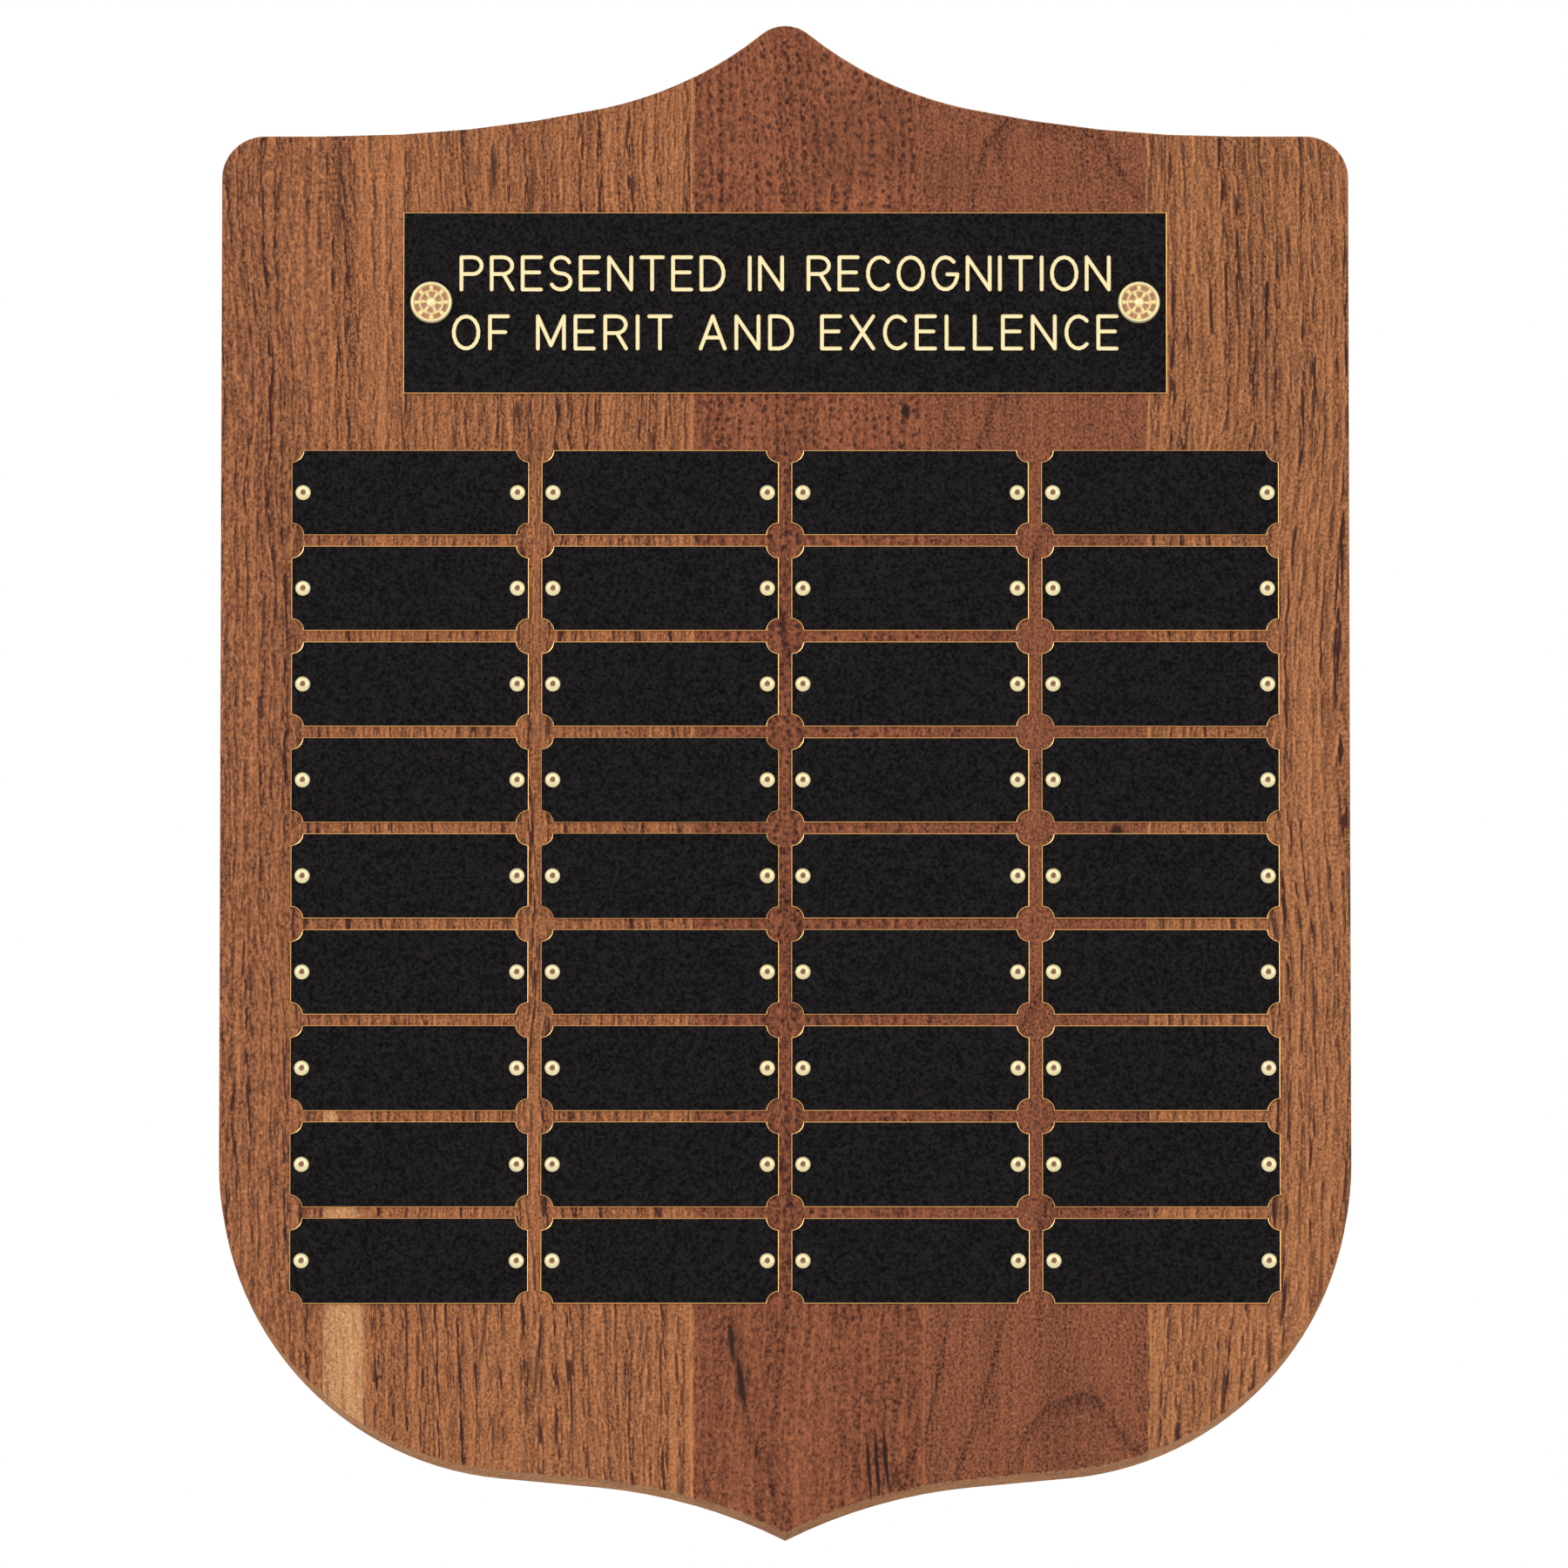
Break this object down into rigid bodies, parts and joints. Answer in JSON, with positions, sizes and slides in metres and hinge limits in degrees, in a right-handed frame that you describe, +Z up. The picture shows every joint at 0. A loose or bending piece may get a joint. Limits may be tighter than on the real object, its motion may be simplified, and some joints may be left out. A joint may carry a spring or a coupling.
{
  "type": "wall plaque",
  "caption": "Shield-shaped walnut perpetual award plaque with a black header plate, a grid of blank scalloped name plates, brass pins and a flush keyhole hanger.",
  "frame": {"origin": "centre of the hanger's round hole, in the plane of the plaque's back", "axes": "+Z up the plaque, +Y out of its back towards the wall, +X to the right seen from the front, so the front faces -Y"},
  "size_m": [0.3016, 0.0217, 0.4064],
  "materials": {
    "walnut_1": "satin lacquered walnut",
    "walnut_2": "satin lacquered walnut",
    "walnut_3": "satin lacquered walnut",
    "walnut_4": "satin lacquered walnut",
    "walnut_5": "satin lacquered walnut",
    "black_plate": "satin black lacquer over brass sheet",
    "polished_brass": "polished",
    "zinc_steel": "bright zinc plated",
    "screw_steel": "yellow zinc plated"
  },
  "bodies": {
    "root": {"stave_1": "walnut_1", "stave_2": "walnut_2", "stave_3": "walnut_3", "stave_4": "walnut_4", "stave_5": "walnut_5", "header_plate": "black_plate", "header_tacks": "polished_brass", "name_plate_r1_c1": "black_plate", "name_plate_r1_c2": "black_plate", "name_plate_r1_c3": "black_plate", "name_plate_r1_c4": "black_plate", "name_plate_r2_c1": "black_plate", "name_plate_r2_c2": "black_plate", "name_plate_r2_c3": "black_plate", "name_plate_r2_c4": "black_plate", "name_plate_r3_c1": "black_plate", "name_plate_r3_c2": "black_plate", "name_plate_r3_c3": "black_plate", "name_plate_r3_c4": "black_plate", "name_plate_r4_c1": "black_plate", "name_plate_r4_c2": "black_plate", "name_plate_r4_c3": "black_plate", "name_plate_r4_c4": "black_plate", "name_plate_r5_c1": "black_plate", "name_plate_r5_c2": "black_plate", "name_plate_r5_c3": "black_plate", "name_plate_r5_c4": "black_plate", "name_plate_r6_c1": "black_plate", "name_plate_r6_c2": "black_plate", "name_plate_r6_c3": "black_plate", "name_plate_r6_c4": "black_plate", "name_plate_r7_c1": "black_plate", "name_plate_r7_c2": "black_plate", "name_plate_r7_c3": "black_plate", "name_plate_r7_c4": "black_plate", "name_plate_r8_c1": "black_plate", "name_plate_r8_c2": "black_plate", "name_plate_r8_c3": "black_plate", "name_plate_r8_c4": "black_plate", "name_plate_r9_c1": "black_plate", "name_plate_r9_c2": "black_plate", "name_plate_r9_c3": "black_plate", "name_plate_r9_c4": "black_plate", "name_plate_pins": "polished_brass", "hanger_plate": "zinc_steel", "hanger_screws": "screw_steel"}
  },
  "joints": []
}
